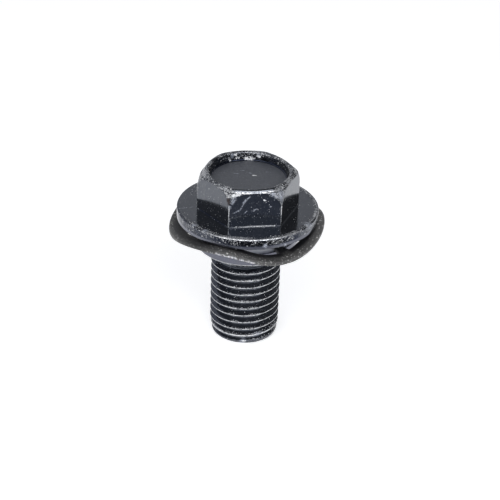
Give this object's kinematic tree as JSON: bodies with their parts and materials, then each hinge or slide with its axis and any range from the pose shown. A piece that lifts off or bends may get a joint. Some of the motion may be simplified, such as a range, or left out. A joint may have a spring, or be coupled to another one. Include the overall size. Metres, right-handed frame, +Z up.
{
  "type": "hex flange bolt with captive wave washer",
  "caption": "Black hex flange bolt with an indented head, a plain round shoulder, a fine thread with a tapered end, and a captive wave spring washer below the flange.",
  "frame": {"origin": "centre of the flat end of the thread, on which the bolt stands", "axes": "+Z up the bolt's axis towards the head; two flats of the hexagon face -Y and +Y"},
  "size_m": [0.0244, 0.0244, 0.0286],
  "materials": {
    "black_plating": "glossy blue-black plating, chipped to grey along its edges",
    "dull_spring_steel": "dull brown-black coating with fine pale specks"
  },
  "bodies": {
    "bolt": {"bolt": "black_plating"},
    "washer": {"wave_washer": "dull_spring_steel"}
  },
  "joints": [
    {"name": "washer_spin", "type": "hinge", "parent": "bolt", "child": "washer", "pos_m": [0, 0, 0.0192], "axis": [0, 0, 1], "continuous": true}
  ]
}
